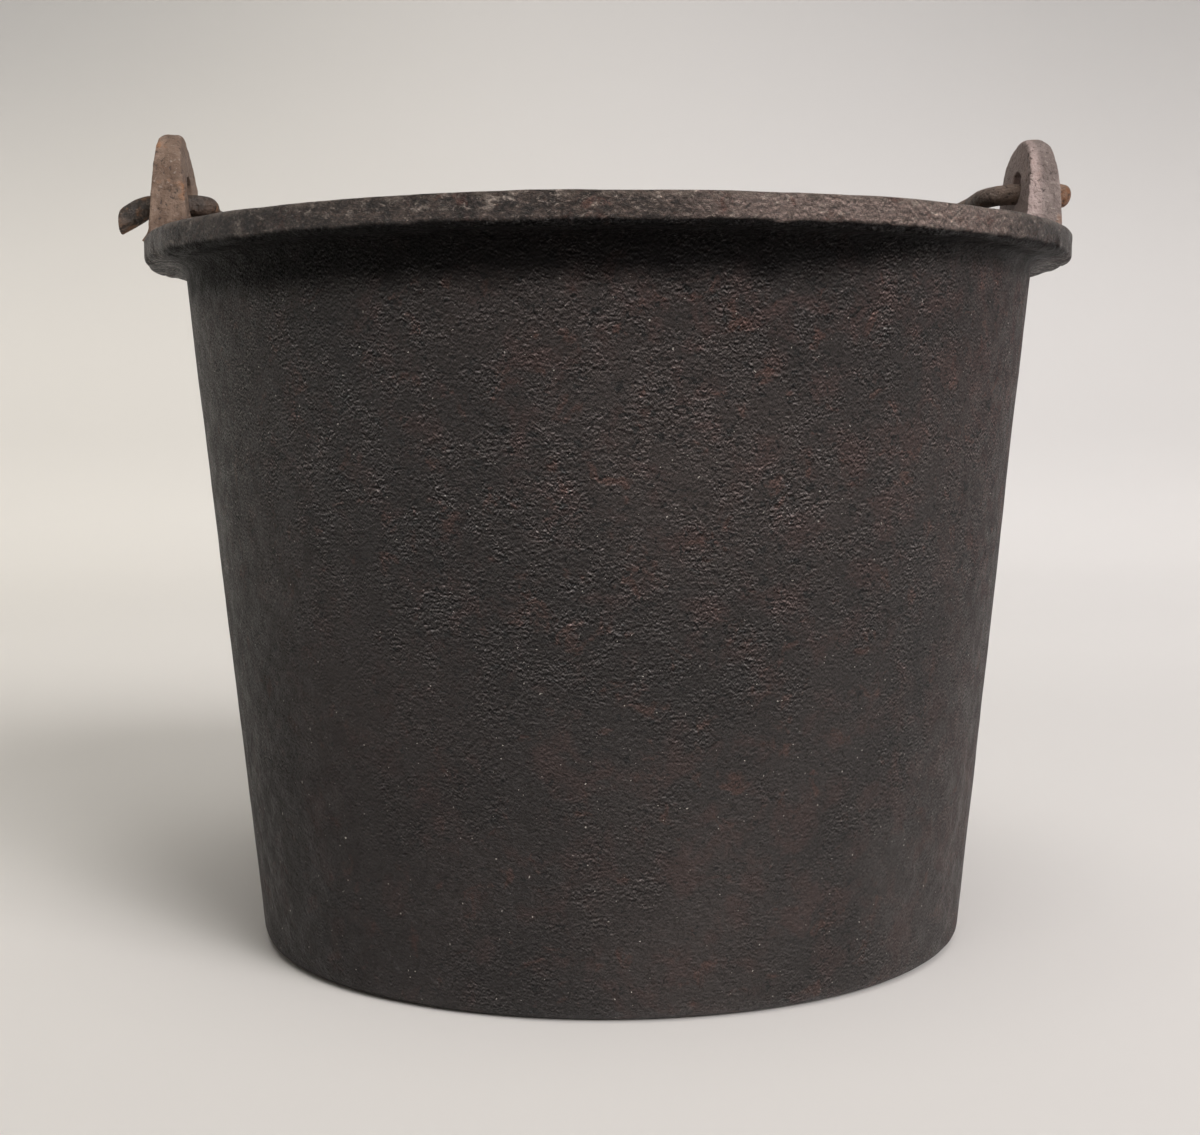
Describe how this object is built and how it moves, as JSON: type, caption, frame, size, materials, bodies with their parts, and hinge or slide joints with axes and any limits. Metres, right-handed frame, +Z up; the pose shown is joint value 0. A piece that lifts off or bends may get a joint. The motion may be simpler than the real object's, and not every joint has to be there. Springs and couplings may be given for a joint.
{
  "type": "pail",
  "caption": "Tapered cast iron pail with a flat flange for a rim, upright drilled ears and a swinging round-rod bail.",
  "frame": {"origin": "middle of the flat underside, on the plane that the pail rests on", "axes": "+Z up through the mouth, +X through the two ears from the left ear to the right one, +Y towards the back, where the bail is folded down"},
  "size_m": [0.2113, 0.2, 0.1752],
  "materials": {
    "pot": "bare cast iron, dark brown-black, fine sandy grain with faint rust",
    "ears": "worn cast iron, brown-grey with orange rust",
    "rod": "forged iron rod, dark brown with orange rust on its ends"
  },
  "bodies": {
    "pot": {"pot_body": "pot", "left_ear": "ears", "right_ear": "ears"},
    "bail": {"bail": "rod"}
  },
  "joints": [
    {"name": "bail_swing", "type": "hinge", "parent": "pot", "child": "bail", "pos_m": [0, -0.001, 0.1613], "axis": [0.9999, 0, 0.0152], "range_deg": [0, 188.7]}
  ]
}
